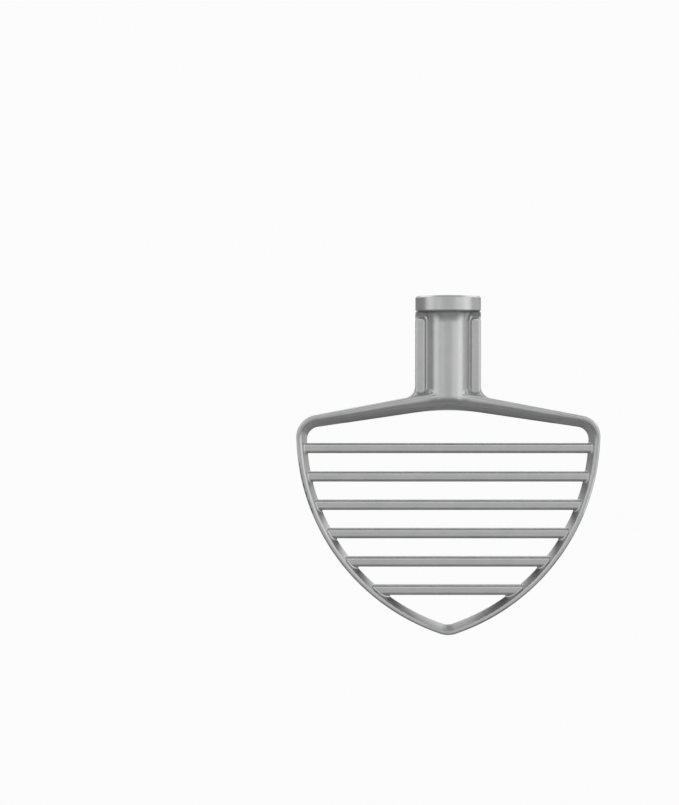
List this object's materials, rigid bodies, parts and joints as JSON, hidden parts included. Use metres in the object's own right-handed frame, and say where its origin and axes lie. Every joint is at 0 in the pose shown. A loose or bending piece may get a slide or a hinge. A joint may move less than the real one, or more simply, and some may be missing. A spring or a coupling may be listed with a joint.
{
  "type": "stand mixer flat beater",
  "caption": "Flat beater for a stand mixer: shield-shaped frame with level crossbars under a webbed hub that has a turned collar and a blind bore for the shaft.",
  "frame": {"origin": "on the shaft axis at the mouth of the bore, level with the collar's top face", "axes": "+Z along the shaft axis and out of the bore, +X across the blade, +Y through its thickness; front is -Y"},
  "size_m": [0.162, 0.035, 0.181],
  "materials": {
    "cast_aluminium": "satin, burnished casting with a turned collar"
  },
  "bodies": {
    "root": {"flat_beater": "cast_aluminium"}
  },
  "joints": []
}
